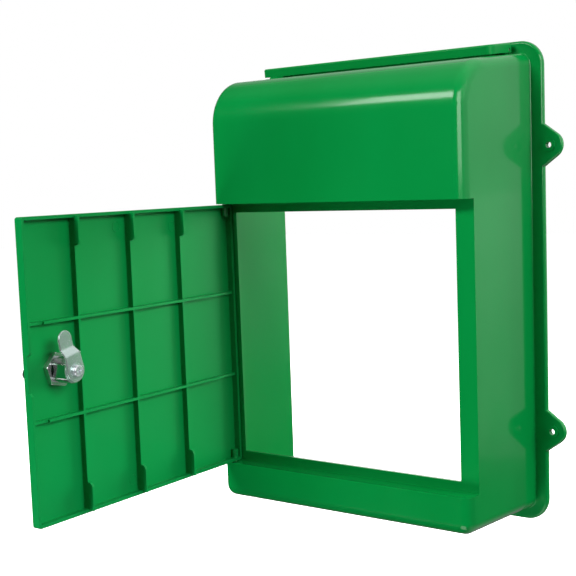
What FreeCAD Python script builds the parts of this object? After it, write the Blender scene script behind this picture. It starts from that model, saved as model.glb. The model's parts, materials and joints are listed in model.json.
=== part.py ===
"""Wall-mounted drop box: moulded body, hinged front door with a cam lock, and hinged top lid.

Axes: +X to the right seen from the front, +Y towards the wall, +Z up.  Millimetres.
Origin: centre of the four wall screw holes, on the wall plane Y = 0, so the box stands in Y < 0.
The door is modelled open, as in use, the lid is down and the lock cam is turned a little from the upright.
"""
import FreeCAD
import Part
import math
import os

V = FreeCAD.Vector
X_AXIS = V(1, 0, 0)
Y_AXIS = V(0, 1, 0)
Z_AXIS = V(0, 0, 1)

# Body shell
DEPTH = 104.0                # wall plane to the front of the hood and the sill
FRONT_HALF = 125.0           # half the width at the front
SIDE_DRAFT = 5.0             # how much further out each side is at the wall
BODY_BOTTOM = -182.0
WALL = 3.0
EDGE_RADIUS = 10.0           # long outer edges of the body
HOOD_RADIUS = 38.0           # big round at the front top of the hood
ROOF_FRONT_Z = 178.4         # roof line carried forward to the front plane
ROOF_SLOPE = 6.0             # degrees, rising to the wall
HOOD_EDGE_Z = 76.5           # lower edge of the hood
SILL_TOP_Z = -151.0
RECESS = 14.5                # how far the door frame lies behind the front
HEADER = 7.7                 # height of the frame above the window
STOP = 8.5                   # height of the frame under the window
JAMB = 16.0                  # width of the frame beside the window

# Wall flange and its four screw lugs
FLANGE_BESIDE = 10.5         # how far the flange stands out beside the body
FLANGE_BOTTOM = -191.5
FLANGE_TOP = 198.5
FLANGE_THICKNESS = 4.0
FLANGE_CORNER = 19.5
LIP_RADIUS = 2.2
SCREW_BESIDE = 5.0           # screw centres outside the flange's upright edges
SCREW_Z = 231.0              # spacing of the wall screws up and down
SCREW_HOLE = 4.8             # diameter
LUG_RADIUS = 10.9
LUG_LIP_RADIUS = 1.2
LUG_BASE = 34.0              # length of a lug where it leaves the flange
LUG_RING_RADIUS = 5.4
LUG_RING_HEIGHT = 1.0

# Front door: a tray with its skirt and ribs on the inside
DOOR_OPEN = 86.0             # degrees open in the modelled pose
DOOR_GAP = 0.7               # above and below the door
DOOR_SIDE_GAP = 2.0          # from the door's edges to the body's sides
DOOR_SETBACK = 2.0           # outer face behind the front of the hood
DOOR_SKIN = 2.5
DOOR_SKIRT = 8.0             # depth of the whole tray
DOOR_RIM = 2.5               # thickness of the skirt
DOOR_EDGE_RADIUS = 2.0
RIB_THICKNESS = 2.2
RIB_TOP = 7.4                # rib height, measured from the outer face
RIB_LOW_TOP = 5.9            # the lower ends of the cross ribs
RIB_LOW_HINGE = 24.0         # length of the low end next to the hinge
RIB_LOW_FREE = 16.5          # length of the low end next to the free edge
RIB_COLUMNS = (71.0, 132.0, 193.0)   # upright ribs, measured from the hinge edge
RIB_ROW = 36.0               # cross ribs above and below the middle of the door
TAB_LENGTH = 22.0            # tall ends of the upright ribs
TAB_CLEARANCE = 0.5          # from the closed tabs to the door frame
TAB_ROUND = 4.0
NOTCH_LENGTH = 31.0
NOTCH_DEPTH = 2.6
NOTCH_RAMP = 2.0

# Door hinge
HINGE_INSET = 6.5            # pin centre from the hinge edge
HINGE_DEPTH = 5.0            # pin centre behind the outer face
DOOR_PIN_RADIUS = 1.5
DOOR_PIN_CHAMFER = 0.3
DOOR_BOSS_RADIUS = 2.9
DOOR_BOSS_LENGTH = 10.0
DOOR_PIN_IN_DOOR = 8.5
DOOR_PIN_IN_BODY = 5.0
BEARING_DEPTH = 6.5
BEARING_WALL = 2.5
TIGHT_FIT = 0.02             # radial, pieces that stay together
RUNNING_FIT = 0.08           # radial, pins that turn in plastic

# Top lid, on the roof: along the slope (s) and square to it (t)
LID_FRONT_Y = -39.0
LID_INSET = 9.0              # from the body's sides at the front to the lid's ends
LID_LENGTH = 31.3
LID_GAP = 1.4                # from the roof to the skirt
LID_SKIRT = 7.5              # height of the skirt with the top plate
LID_PLATE = 2.5
LID_RIM = 2.5
LID_CORNER = 6.0
LID_TOP_ROUND = 1.6
LID_AXIS_HEIGHT = 3.4        # above the roof
LID_AXIS_INSET = 2.8         # from the rear end of the lid
LID_PIN_RADIUS = 1.3
LID_BOSS_RADIUS = 2.4
LID_BOSS_WIDTH = 9.0
LID_BOSS_GAP = 0.4
LID_PIN_IN_BOSS = 7.0
LID_PIN_CHAMFER = 0.25
LID_PIN_RECESS = 0.5         # from the lid's end faces to the ends of the pins
SLOT_INSET = 16.0            # from the lid's ends to the ends of the drop slot under it
SLOT_MARGIN = 4.5            # from the inside of the lid skirt to the slot
SLOT_TO_BOSS = 4.0
SLOT_CORNER = 2.5

# Cam lock, placed on the door
LOCK_FROM_FREE = 31.5        # from the free edge of the door
BARREL_RADIUS = 9.5
BARREL_FLATS = 16.4          # across the two flats
BARREL_END = 19.5            # inner end, from the outer face of the door
CAP_RADIUS = 12.0
CAP_THICKNESS = 2.6
CAP_CHAMFER = 0.65
LOCK_FIT = 0.1               # radial, barrel in the door and in the nut
NUT_FLATS = 24.0
NUT_THICKNESS = 4.0
NUT_CHAMFER = 1.2
NUT_TURN = -18.0             # from a corner upright
PLUG_RADIUS = 6.0
PLUG_FIT = 0.06              # radial
PLUG_HEAD_RADIUS = 7.4
PLUG_HEAD_THICKNESS = 1.2
PLUG_STEM_SQUARE = 7.0
STOP_WASHER_RADIUS = 9.3
STOP_WASHER_THICKNESS = 1.0
CAM_THICKNESS = 1.8
CAM_BASE_RADIUS = 8.6
CAM_TIP_RADIUS = 6.6
CAM_REACH = 23.8             # lock centre to the centre of the tip
CAM_CRANK = 4.5              # step of the cam towards the door
CAM_BEND_START = 12.5
CAM_BEND_END = 17.0
CAM_TURN = 12.0              # modelled turn from the upright, towards the free edge
CAM_SHOULDER = 1.0           # how much narrower the cam is at the bend, on each side
CAM_SQUARE_FIT = 0.05
CAM_WASHER_RADIUS = 5.6
CAM_WASHER_THICKNESS = 0.8
SCREW_RADIUS = 2.0
SCREW_HEAD_RADIUS = 4.4
SCREW_HEAD_HEIGHT = 2.3
SCREW_LENGTH = 9.0
CROSS_WIDTH = 1.1
CROSS_DEPTH = 1.3
CROSS_REACH = 2.6            # half the length of a cross arm
END_PLAY = 0.1               # along the lock axis
WAFER_COUNT = 4
WAFER_PITCH = 2.6
WAFER_THICKNESS = 0.8
WAFER_WIDTH = 6.4
WAFER_SHORT = 3.0            # how much shorter the wafers are than the plug is wide
WAFER_FIRST = 2.4
WAFER_FIT = 0.06
SPRING_RADIUS = 0.4
SPRING_LENGTH = 2.2
KEY_TURN = -40.0             # keyway angle from the upright
KEY_THICKNESS = 2.0
KEY_BLADE_HEIGHT = 5.6
KEY_BLADE_LENGTH = 14.0
KEY_FIT = 0.1
KEY_SHANK = 10.5             # metal between the lock cap and the end inside the bow
BOW_HEIGHT = 24.0
BOW_LENGTH = 19.0
BOW_THICKNESS = 5.0
BOW_OVERLAP = 4.0
BOW_CORNER = 7.6
BOW_HOLE_RADIUS = 2.5

# Places worked out from the sizes above
FRONT_Y = -DEPTH
FRAME_Y = FRONT_Y + RECESS
FRAME_BACK_Y = FRAME_Y + WALL
WINDOW_BOTTOM = SILL_TOP_Z + STOP
WINDOW_TOP = HOOD_EDGE_Z - HEADER
BACK_HALF = FRONT_HALF + SIDE_DRAFT
DRAFT = SIDE_DRAFT / DEPTH
FLANGE_HALF = BACK_HALF + FLANGE_BESIDE
SCREW_HALF = FLANGE_HALF + SCREW_BESIDE
WINDOW_HALF = FRONT_HALF + DRAFT * RECESS - JAMB
DOOR_HALF = FRONT_HALF - DOOR_SIDE_GAP
DOOR_WIDTH = 2 * DOOR_HALF
DOOR_BOTTOM = SILL_TOP_Z + DOOR_GAP
DOOR_TOP = HOOD_EDGE_Z - DOOR_GAP
DOOR_MIDDLE = (DOOR_BOTTOM + DOOR_TOP) / 2
DOOR_Y = FRONT_Y + DOOR_SETBACK
TAB_TOP = RECESS - DOOR_SETBACK - TAB_CLEARANCE
HINGE = V(-DOOR_HALF + HINGE_INSET, DOOR_Y + HINGE_DEPTH, 0)
LOCK_X = DOOR_HALF - LOCK_FROM_FREE
WAFER_HEIGHT = 2 * PLUG_RADIUS - WAFER_SHORT
LID_HALF = FRONT_HALF - LID_INSET
SLOT_HALF = LID_HALF - SLOT_INSET
SLOPE = math.radians(ROOF_SLOPE)
LID_AXIS_S = LID_LENGTH - LID_AXIS_INSET
CAM_LEVEL = BARREL_END + END_PLAY + STOP_WASHER_THICKNESS    # outer face of the cam's base
CAM_TOP = CAM_LEVEL + CAM_THICKNESS
OVERCUT = 1.0                # how far cutters run past a face
NEAR = 0.01                  # slack when edges are picked by their place


def save(shape, name):
    """Write one sub-component to its STEP file."""
    shape.exportStep("parts/" + name + ".step")


def box(x, y, z):
    """Box from three (low, high) pairs."""
    return Part.makeBox(x[1] - x[0], y[1] - y[0], z[1] - z[0], V(x[0], y[0], z[0]))


def rod(radius, start, direction, length):
    """Solid cylinder."""
    return Part.makeCylinder(radius, length, start, direction)


def extrude(points, vector):
    """Prism of a closed outline of straight sides."""
    return Part.Face(Part.makePolygon(points + points[:1])).extrude(vector)


def fuse(first, others):
    """One clean solid from pieces that overlap."""
    return first.multiFuse(others).removeSplitter()


def roof_z(y):
    """Height of the roof's outer face at a depth."""
    return ROOF_FRONT_Z + (y - FRONT_Y) * math.tan(SLOPE)


def side_outline(inset, back):
    """Side view of the box, moved inwards by a wall thickness and ended at the depth back."""
    radius = HOOD_RADIUS - inset
    front = FRONT_Y + inset
    bottom = BODY_BOTTOM + inset
    centre_y = front + radius
    centre_z = roof_z(centre_y) - (radius + inset) / math.cos(SLOPE)
    half_turn = (math.pi / 2 - SLOPE) / 2

    def on_round(angle):
        return V(0, centre_y - radius * math.cos(angle), centre_z + radius * math.sin(angle))

    roof_start = on_round(2 * half_turn)
    roof_end = V(0, back, roof_start.z + (back - roof_start.y) * math.tan(SLOPE))
    arc = Part.Arc(V(0, front, centre_z), on_round(half_turn), roof_start)
    return Part.Wire([
        Part.makeLine(V(0, back, bottom), V(0, front, bottom)),
        Part.makeLine(V(0, front, bottom), V(0, front, centre_z)),
        arc.toShape(),
        Part.makeLine(roof_start, roof_end),
        Part.makeLine(roof_end, V(0, back, bottom)),
    ])


def box_body(inset, back):
    """Drafted box with its long edges rounded; the back face stays sharp."""
    profile = Part.Face(side_outline(inset, back))
    profile.translate(V(-2 * BACK_HALF, 0, 0))
    side_view = profile.extrude(V(4 * BACK_HALF, 0, 0))
    front = FRONT_Y + inset
    front_half = FRONT_HALF - inset + DRAFT * inset
    back_half = BACK_HALF - inset + DRAFT * back
    plan = extrude([V(-front_half, front, 2 * BODY_BOTTOM), V(front_half, front, 2 * BODY_BOTTOM),
                    V(back_half, back, 2 * BODY_BOTTOM), V(-back_half, back, 2 * BODY_BOTTOM)],
                   V(0, 0, -4 * BODY_BOTTOM))
    solid = side_view.common(plan)
    return solid.makeFillet(EDGE_RADIUS - inset, outer_edges(solid, back))


def outer_edges(solid, back):
    """Edges of the two sides and the lower front edge, without the ones on the back face."""
    chosen = []
    for edge in solid.Edges:
        middle = edge.CenterOfMass
        across = edge.BoundBox.XLength > FRONT_HALF
        lower_front = across and middle.z < SILL_TOP_Z and middle.y < FRAME_Y
        beside = not across and abs(middle.y - back) > OVERCUT / 2
        if lower_front or beside:
            chosen.append(edge)
    return chosen


def rounded_plate(half_width, bottom, top, corner, thickness):
    """Upright plate with round corners, its back on the wall."""
    plate = box((-half_width, half_width), (-thickness, 0), (bottom, top))
    corners = [edge for edge in plate.Edges if edge.BoundBox.YLength > thickness / 2]
    return plate.makeFillet(corner, corners)


def lug_places():
    """Centres of the four wall screws on the wall plane."""
    return [V(x, 0, z) for x in (-SCREW_HALF, SCREW_HALF) for z in (-SCREW_Z / 2, SCREW_Z / 2)]


def lug(place):
    """Rounded ear that carries one screw hole, grown from the flange edge."""
    side = math.copysign(1, place.x)
    edge = V(side * (FLANGE_HALF - 2 * LIP_RADIUS), 0, place.z)
    to_base = V(side * FLANGE_HALF - place.x, 0, LUG_BASE / 2)
    lean = math.atan2(to_base.z, -side * to_base.x) + math.acos(LUG_RADIUS / to_base.Length)
    touch_x = place.x - side * LUG_RADIUS * math.cos(lean)
    touch_z = LUG_RADIUS * math.sin(lean)
    outline = [V(edge.x, 0, place.z - LUG_BASE / 2), V(side * FLANGE_HALF, 0, place.z - LUG_BASE / 2),
               V(touch_x, 0, place.z - touch_z), V(touch_x, 0, place.z + touch_z),
               V(side * FLANGE_HALF, 0, place.z + LUG_BASE / 2), V(edge.x, 0, place.z + LUG_BASE / 2)]
    web = extrude(outline, V(0, -FLANGE_THICKNESS, 0))
    ear = fuse(web, [rod(LUG_RADIUS, place, V(0, -1, 0), FLANGE_THICKNESS)])
    return ear.makeFillet(LUG_LIP_RADIUS, front_edges(ear))


def front_edges(plate):
    """Edges on the front face of a plate of the flange's thickness."""
    return [edge for edge in plate.Edges if edge.BoundBox.YMax < -FLANGE_THICKNESS + NEAR]


def flange():
    """Flange and lugs with a round lip along the front edge, and a raised ring at each hole."""
    plate = rounded_plate(FLANGE_HALF, FLANGE_BOTTOM, FLANGE_TOP, FLANGE_CORNER, FLANGE_THICKNESS)
    plate = plate.makeFillet(LIP_RADIUS, front_edges(plate))
    ring_height = FLANGE_THICKNESS + LUG_RING_HEIGHT
    rings = [rod(LUG_RING_RADIUS, place, V(0, -1, 0), ring_height) for place in lug_places()]
    return fuse(plate, [lug(place) for place in lug_places()] + rings)


def door_bearings():
    """Blind bosses inside the hood and the sill that hold the door pins."""
    radius = DOOR_PIN_RADIUS + RUNNING_FIT + BEARING_WALL
    height = BEARING_DEPTH + WALL / 2
    upper = rod(radius, V(HINGE.x, HINGE.y, HOOD_EDGE_Z), Z_AXIS, height)
    lower = rod(radius, V(HINGE.x, HINGE.y, SILL_TOP_Z), V(0, 0, -1), height)
    return [upper, lower]


def door_bearing_holes():
    """Running holes for the door pins."""
    radius = DOOR_PIN_RADIUS + RUNNING_FIT
    length = BEARING_DEPTH + OVERCUT
    upper = rod(radius, V(HINGE.x, HINGE.y, HOOD_EDGE_Z - OVERCUT), Z_AXIS, length)
    lower = rod(radius, V(HINGE.x, HINGE.y, SILL_TOP_Z + OVERCUT), V(0, 0, -1), length)
    return [upper, lower]


def onto_roof(shape):
    """Move a shape drawn at the lid's front lower line onto the slope of the roof."""
    shape.rotate(V(0, 0, 0), X_AXIS, ROOF_SLOPE)
    shape.translate(V(0, LID_FRONT_Y, roof_z(LID_FRONT_Y)))
    return shape


def lid_boss(side):
    """Boss on the roof that holds one lid pin."""
    outside = LID_HALF - LID_RIM - LID_BOSS_GAP
    start = side * outside - (LID_BOSS_WIDTH if side > 0 else 0)
    foot = box((start, start + LID_BOSS_WIDTH),
               (LID_AXIS_S - LID_BOSS_RADIUS, LID_AXIS_S + LID_BOSS_RADIUS), (-WALL / 2, LID_AXIS_HEIGHT))
    top = rod(LID_BOSS_RADIUS, V(start, LID_AXIS_S, LID_AXIS_HEIGHT), X_AXIS, LID_BOSS_WIDTH)
    return onto_roof(foot.fuse(top))


def lid_pin_solid(side, radius, outer_end):
    """Cylinder on the lid's hinge line, from inside the boss to a distance from the centre."""
    inner_end = LID_HALF - LID_RIM - LID_BOSS_GAP - LID_PIN_IN_BOSS
    start = V(side * inner_end, LID_AXIS_S, LID_AXIS_HEIGHT)
    return onto_roof(rod(radius, start, V(side, 0, 0), outer_end - inner_end))


def drop_slot():
    """Cutter for the slot in the roof under the lid."""
    front = LID_FRONT_Y + LID_RIM + SLOT_MARGIN
    back = LID_FRONT_Y + (LID_AXIS_S - LID_BOSS_RADIUS - SLOT_TO_BOSS) * math.cos(SLOPE)
    cutter = box((-SLOT_HALF, SLOT_HALF), (front, back), (roof_z(front) - 4 * WALL, roof_z(back) + WALL))
    upright = [edge for edge in cutter.Edges if edge.BoundBox.ZLength > WALL]
    return cutter.makeFillet(SLOT_CORNER, upright)


def body_shell():
    """The moulded body: hood, sill, door frame, open back, flange and lugs."""
    outside = box_body(0, 0)
    wide = (-2 * BACK_HALF, 2 * BACK_HALF)
    outside = outside.cut(box(wide, (FRONT_Y - OVERCUT, FRAME_Y), (SILL_TOP_Z, HOOD_EDGE_Z)))
    cavity = box_body(WALL, OVERCUT)
    cavity = cavity.cut(box(wide, (FRONT_Y - OVERCUT, FRAME_BACK_Y), (SILL_TOP_Z - WALL, HOOD_EDGE_Z + WALL)))
    solid = fuse(outside, [flange(), lid_boss(-1), lid_boss(1)])
    solid = solid.cut(cavity)
    solid = fuse(solid, door_bearings())
    window = box((-WINDOW_HALF, WINDOW_HALF), (FRAME_Y - OVERCUT, FRAME_BACK_Y + OVERCUT),
                 (WINDOW_BOTTOM, WINDOW_TOP))
    cutters = [window, drop_slot()] + door_bearing_holes()
    for side in (-1, 1):
        cutters.append(lid_pin_solid(side, LID_PIN_RADIUS + TIGHT_FIT, LID_HALF))
    for place in lug_places():
        cutters.append(rod(SCREW_HOLE / 2, place + V(0, OVERCUT, 0), V(0, -1, 0), 2 * FLANGE_THICKNESS))
    return solid.cut(cutters)


def swing(shape):
    """Turn a shape drawn on the closed door to the modelled open pose."""
    shape.rotate(HINGE, Z_AXIS, -DOOR_OPEN)
    return shape


def door_tray():
    """Skin and skirt of the door, closed."""
    outer = box((-DOOR_HALF, DOOR_HALF), (DOOR_Y, DOOR_Y + DOOR_SKIRT), (DOOR_BOTTOM, DOOR_TOP))
    rounded = []
    for edge in outer.Edges:
        on_inside = edge.BoundBox.YMin > DOOR_Y + DOOR_SKIRT / 2
        if not on_inside:
            rounded.append(edge)
    outer = outer.makeFillet(DOOR_EDGE_RADIUS, rounded)
    pocket = box((-DOOR_HALF + DOOR_RIM, DOOR_HALF - DOOR_RIM),
                 (DOOR_Y + DOOR_SKIN, DOOR_Y + DOOR_SKIRT + OVERCUT),
                 (DOOR_BOTTOM + DOOR_RIM, DOOR_TOP - DOOR_RIM))
    return outer.cut(pocket)


def upright_rib(from_hinge):
    """Upright rib with a tall rounded tab at each end."""
    x = -DOOR_HALF + from_hinge
    x_span = (x - RIB_THICKNESS / 2, x + RIB_THICKNESS / 2)
    low = DOOR_BOTTOM + DOOR_RIM / 2
    high = DOOR_TOP - DOOR_RIM / 2
    start_y = DOOR_Y + DOOR_SKIN / 2
    rib = box(x_span, (start_y, DOOR_Y + RIB_TOP), (low, high))
    tabs = []
    for end, inner in ((low, low + TAB_LENGTH), (high, high - TAB_LENGTH)):
        tab = box(x_span, (start_y, DOOR_Y + TAB_TOP), (min(end, inner), max(end, inner)))
        corner = [edge for edge in tab.Edges if edge.BoundBox.XLength > RIB_THICKNESS / 2
                  and abs(edge.CenterOfMass.z - inner) < NEAR
                  and edge.CenterOfMass.y > start_y + TAB_ROUND]
        tabs.append(tab.makeFillet(TAB_ROUND, corner))
    return fuse(rib, tabs)


def cross_rib(z):
    """Cross rib, lower next to the hinge and next to the free edge."""
    z_span = (z - RIB_THICKNESS / 2, z + RIB_THICKNESS / 2)
    start_y = DOOR_Y + DOOR_SKIN / 2
    left = -DOOR_HALF + DOOR_RIM / 2
    right = DOOR_HALF - DOOR_RIM / 2
    low = box((left, right), (start_y, DOOR_Y + RIB_LOW_TOP), z_span)
    high = box((-DOOR_HALF + RIB_LOW_HINGE, DOOR_HALF - RIB_LOW_FREE), (start_y, DOOR_Y + RIB_TOP), z_span)
    return low.fuse(high)


def free_edge_notch():
    """Shallow finger notch in the skirt beside the lock."""
    top = DOOR_Y + DOOR_SKIRT
    half = NOTCH_LENGTH / 2
    start = DOOR_HALF - DOOR_RIM - OVERCUT
    outline = [V(start, top + OVERCUT, DOOR_MIDDLE - half), V(start, top, DOOR_MIDDLE - half),
               V(start, top - NOTCH_DEPTH, DOOR_MIDDLE - half + NOTCH_RAMP),
               V(start, top - NOTCH_DEPTH, DOOR_MIDDLE + half - NOTCH_RAMP),
               V(start, top, DOOR_MIDDLE + half), V(start, top + OVERCUT, DOOR_MIDDLE + half)]
    return extrude(outline, V(DOOR_RIM + 2 * OVERCUT, 0, 0))


def barrel_section(radius, flats, low, high):
    """Round bar with two upright flats, along the lock axis."""
    bar = rod(radius, V(LOCK_X, DOOR_Y + low, DOOR_MIDDLE), Y_AXIS, high - low)
    gate = box((LOCK_X - flats / 2, LOCK_X + flats / 2), (DOOR_Y + low, DOOR_Y + high),
               (DOOR_MIDDLE - 2 * radius, DOOR_MIDDLE + 2 * radius))
    return bar.common(gate)


def door_pin_span(end):
    """Start and direction of a door pin, from its end inside the door; end is -1 or 1."""
    edge = DOOR_TOP if end > 0 else DOOR_BOTTOM
    return V(HINGE.x, HINGE.y, edge - end * DOOR_PIN_IN_DOOR), V(0, 0, end)


def door_panel():
    """The door: tray, ribs, hinge bosses, lock hole and notch."""
    pieces = [upright_rib(column) for column in RIB_COLUMNS]
    pieces += [cross_rib(DOOR_MIDDLE - RIB_ROW), cross_rib(DOOR_MIDDLE + RIB_ROW)]
    holes = []
    for end, edge in ((-1, DOOR_BOTTOM), (1, DOOR_TOP)):
        start = V(HINGE.x, HINGE.y, edge)
        pieces.append(rod(DOOR_BOSS_RADIUS, start, V(0, 0, -end), DOOR_BOSS_LENGTH))
        pin_start, direction = door_pin_span(end)
        holes.append(rod(DOOR_PIN_RADIUS + TIGHT_FIT, pin_start, direction, DOOR_PIN_IN_DOOR + OVERCUT))
    solid = fuse(door_tray(), pieces)
    lock_hole = barrel_section(BARREL_RADIUS + LOCK_FIT, BARREL_FLATS + 2 * LOCK_FIT, -OVERCUT, DOOR_SKIRT)
    return swing(solid.cut(holes + [free_edge_notch(), lock_hole]))


def door_pin(end):
    """Steel pin held in the door that turns in the body; end is -1 or 1."""
    start, direction = door_pin_span(end)
    pin = rod(DOOR_PIN_RADIUS, start, direction, DOOR_PIN_IN_DOOR + DOOR_GAP + DOOR_PIN_IN_BODY)
    return swing(soften(pin, DOOR_PIN_CHAMFER))


def soften(shape, size):
    """Break the two end edges of a round bar."""
    rims = [edge for edge in shape.Edges if edge.isClosed()]
    return shape.makeChamfer(size, rims)


def top_lid():
    """The lid: top plate with a skirt at the front and the sides."""
    rear = LID_LENGTH
    top = LID_GAP + LID_SKIRT
    outer = box((-LID_HALF, LID_HALF), (0, rear), (LID_GAP, top))
    corners = [edge for edge in outer.Edges if edge.BoundBox.ZLength > LID_SKIRT / 2
               and edge.CenterOfMass.y < rear / 2]
    outer = outer.makeFillet(LID_CORNER, corners)
    rims = [edge for edge in outer.Edges if edge.BoundBox.ZMin > top - NEAR
            and edge.CenterOfMass.y < rear - NEAR]
    outer = outer.makeFillet(LID_TOP_ROUND, rims)
    inner = box((-LID_HALF + LID_RIM, LID_HALF - LID_RIM), (LID_RIM, rear + OVERCUT),
                (LID_GAP - OVERCUT, top - LID_PLATE))
    inner_corners = [edge for edge in inner.Edges if edge.BoundBox.ZLength > LID_SKIRT / 2
                     and edge.CenterOfMass.y < rear / 2]
    lid = outer.cut(inner.makeFillet(LID_CORNER - LID_RIM, inner_corners))
    lid = lid.cut(lid_heel_cutter())
    lid = onto_roof(lid)
    pin_holes = [lid_pin_solid(side, LID_PIN_RADIUS + RUNNING_FIT, LID_HALF + OVERCUT) for side in (-1, 1)]
    return lid.cut(pin_holes)


def lid_heel_cutter():
    """What is taken off the lid's lower rear corners, so that they turn clear of the roof."""
    rear = (LID_AXIS_S, LID_LENGTH + OVERCUT)
    corner = box((-LID_HALF - OVERCUT, LID_HALF + OVERCUT), rear, (LID_GAP - OVERCUT, LID_AXIS_HEIGHT))
    heel = rod(LID_AXIS_INSET, V(-LID_HALF - OVERCUT, LID_AXIS_S, LID_AXIS_HEIGHT), X_AXIS,
               2 * (LID_HALF + OVERCUT))
    return corner.cut(heel)


def lid_pin(side):
    """Pin of the lid hinge, held in the roof boss; side is -1 or 1."""
    return soften(lid_pin_solid(side, LID_PIN_RADIUS, LID_HALF - LID_PIN_RECESS), LID_PIN_CHAMFER)


def on_lock(shape):
    """Place a shape drawn along +Z from the door's outer face, +Y up, on the swung door."""
    shape.rotate(V(0, 0, 0), X_AXIS, -90)
    shape.rotate(V(0, 0, 0), Y_AXIS, 180)
    shape.translate(V(LOCK_X, DOOR_Y, DOOR_MIDDLE))
    return swing(shape)


def axial(radius, low, high):
    """Cylinder along the lock axis, in the lock's own drawing."""
    return rod(radius, V(0, 0, low), Z_AXIS, high - low)


def turned(shape, angle=KEY_TURN):
    """Turn a shape in the lock's own drawing, by the keyway's angle unless another is given."""
    shape.rotate(V(0, 0, 0), Z_AXIS, angle)
    return shape


def key_slot(fit, low, high):
    """Blade-shaped bar along the lock axis, larger all round by fit."""
    half_t = KEY_THICKNESS / 2 + fit
    half_h = KEY_BLADE_HEIGHT / 2 + fit
    return turned(box((-half_t, half_t), (-half_h, half_h), (low, high)))


def lock_housing():
    """Threaded barrel with two flats and a round cap on the outer face."""
    bar = axial(BARREL_RADIUS, -CAP_THICKNESS, BARREL_END)
    gate = box((-BARREL_FLATS / 2, BARREL_FLATS / 2), (-2 * BARREL_RADIUS, 2 * BARREL_RADIUS),
               (-CAP_THICKNESS, BARREL_END))
    cap = soften(axial(CAP_RADIUS, -CAP_THICKNESS, 0), CAP_CHAMFER)
    housing = fuse(bar.common(gate), [cap])
    bore = axial(PLUG_RADIUS + PLUG_FIT, -CAP_THICKNESS - OVERCUT, BARREL_END + OVERCUT)
    seat = axial(PLUG_HEAD_RADIUS + PLUG_FIT, -CAP_THICKNESS - OVERCUT, -CAP_THICKNESS + PLUG_HEAD_THICKNESS)
    channel_half = WAFER_WIDTH / 2 + WAFER_FIT
    channel_low = WAFER_FIRST - WAFER_PITCH / 2
    channel_high = channel_low + WAFER_COUNT * WAFER_PITCH
    gap = box((-channel_half, channel_half), (-WAFER_HEIGHT, WAFER_HEIGHT), (channel_low, channel_high))
    channel = turned(gap.common(axial(PLUG_RADIUS + WAFER_THICKNESS, channel_low, channel_high)))
    return on_lock(housing.cut([bore, seat, channel]))


def lock_nut():
    """Hexagon nut that clamps the barrel to the door."""
    corner = NUT_FLATS / math.sqrt(3)
    angles = [math.radians(60 * k + NUT_TURN) for k in range(6)]
    outline = [V(corner * math.sin(angle), corner * math.cos(angle), DOOR_SKIN) for angle in angles]
    prism = extrude(outline, V(0, 0, NUT_THICKNESS))
    top = DOOR_SKIN + NUT_THICKNESS
    cone = Part.makeCone(corner + NUT_THICKNESS - NUT_CHAMFER / 2, corner - NUT_CHAMFER / 2,
                         NUT_THICKNESS, V(0, 0, DOOR_SKIN))
    bore = axial(BARREL_RADIUS + LOCK_FIT, 0, top + OVERCUT)
    return on_lock(prism.common(cone).cut(bore))


def wafer_levels():
    """Distances of the wafers' middles from the door's outer face."""
    return [WAFER_FIRST + WAFER_PITCH * k for k in range(WAFER_COUNT)]


def wafer_slot(level, fit):
    """Room of one wafer across the plug."""
    half_x = WAFER_WIDTH / 2 + fit
    half_y = WAFER_HEIGHT / 2 + fit
    half_z = WAFER_THICKNESS / 2 + fit
    return turned(box((-half_x, half_x), (-half_y, half_y), (level - half_z, level + half_z)))


def spring_place(level):
    """Middle of a wafer spring, beside the keyway."""
    return V(-WAFER_WIDTH / 2 + SPRING_RADIUS, 0, level)


def lock_plug():
    """Turning plug: head, wafer slots, keyway and the square stem that carries the cam."""
    plug = fuse(axial(PLUG_RADIUS, -CAP_THICKNESS, BARREL_END),
                [axial(PLUG_HEAD_RADIUS, -CAP_THICKNESS, -CAP_THICKNESS + PLUG_HEAD_THICKNESS),
                 square_stem(0, BARREL_END - END_PLAY, CAM_TOP - END_PLAY)])
    cutters = [wafer_slot(level, WAFER_FIT) for level in wafer_levels()]
    cutters.append(key_slot(KEY_FIT, -CAP_THICKNESS - OVERCUT, KEY_BLADE_LENGTH - CAP_THICKNESS + END_PLAY))
    cutters.append(axial(SCREW_RADIUS + TIGHT_FIT, CAM_TOP - SCREW_LENGTH, CAM_TOP + OVERCUT))
    return on_lock(plug.cut(cutters))


def square_stem(fit, low, high):
    """Square bar for the washer and the cam, larger all round by fit."""
    half = PLUG_STEM_SQUARE / 2 + fit
    return turned(box((-half, half), (-half, half), (low, high)), CAM_TURN)


def lock_wafers():
    """Row of spring wafers, each open in the middle for the key."""
    window = key_slot(KEY_FIT, -CAP_THICKNESS, KEY_BLADE_LENGTH + WALL)
    wafers = []
    for level in wafer_levels():
        wafer = wafer_slot(level, 0).cut([window, turned(spring_pocket(level))])
        wafers.append(wafer)
    return on_lock(Part.makeCompound(wafers))


def spring_pocket(level):
    """Notch in a wafer that its spring sits in."""
    low = -SPRING_LENGTH / 2 - WAFER_FIT
    return box((-WAFER_WIDTH / 2 - WAFER_FIT, -WAFER_WIDTH / 2 + 2 * SPRING_RADIUS + WAFER_FIT),
               (low, -low), (level - WAFER_THICKNESS, level + WAFER_THICKNESS))


def wafer_springs():
    """Small springs of the wafers, drawn as closed solids of their outer shape."""
    springs = []
    for level in wafer_levels():
        place = spring_place(level)
        start = V(place.x, -SPRING_LENGTH / 2, place.z)
        springs.append(turned(rod(SPRING_RADIUS, start, Y_AXIS, SPRING_LENGTH)))
    return on_lock(Part.makeCompound(springs))


def stop_washer():
    """Washer between the barrel and the cam, turned by the square stem."""
    low = BARREL_END + END_PLAY
    high = low + STOP_WASHER_THICKNESS
    washer = axial(STOP_WASHER_RADIUS, low, high)
    return on_lock(washer.cut(square_stem(CAM_SQUARE_FIT, low - OVERCUT, high + OVERCUT)))


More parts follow.
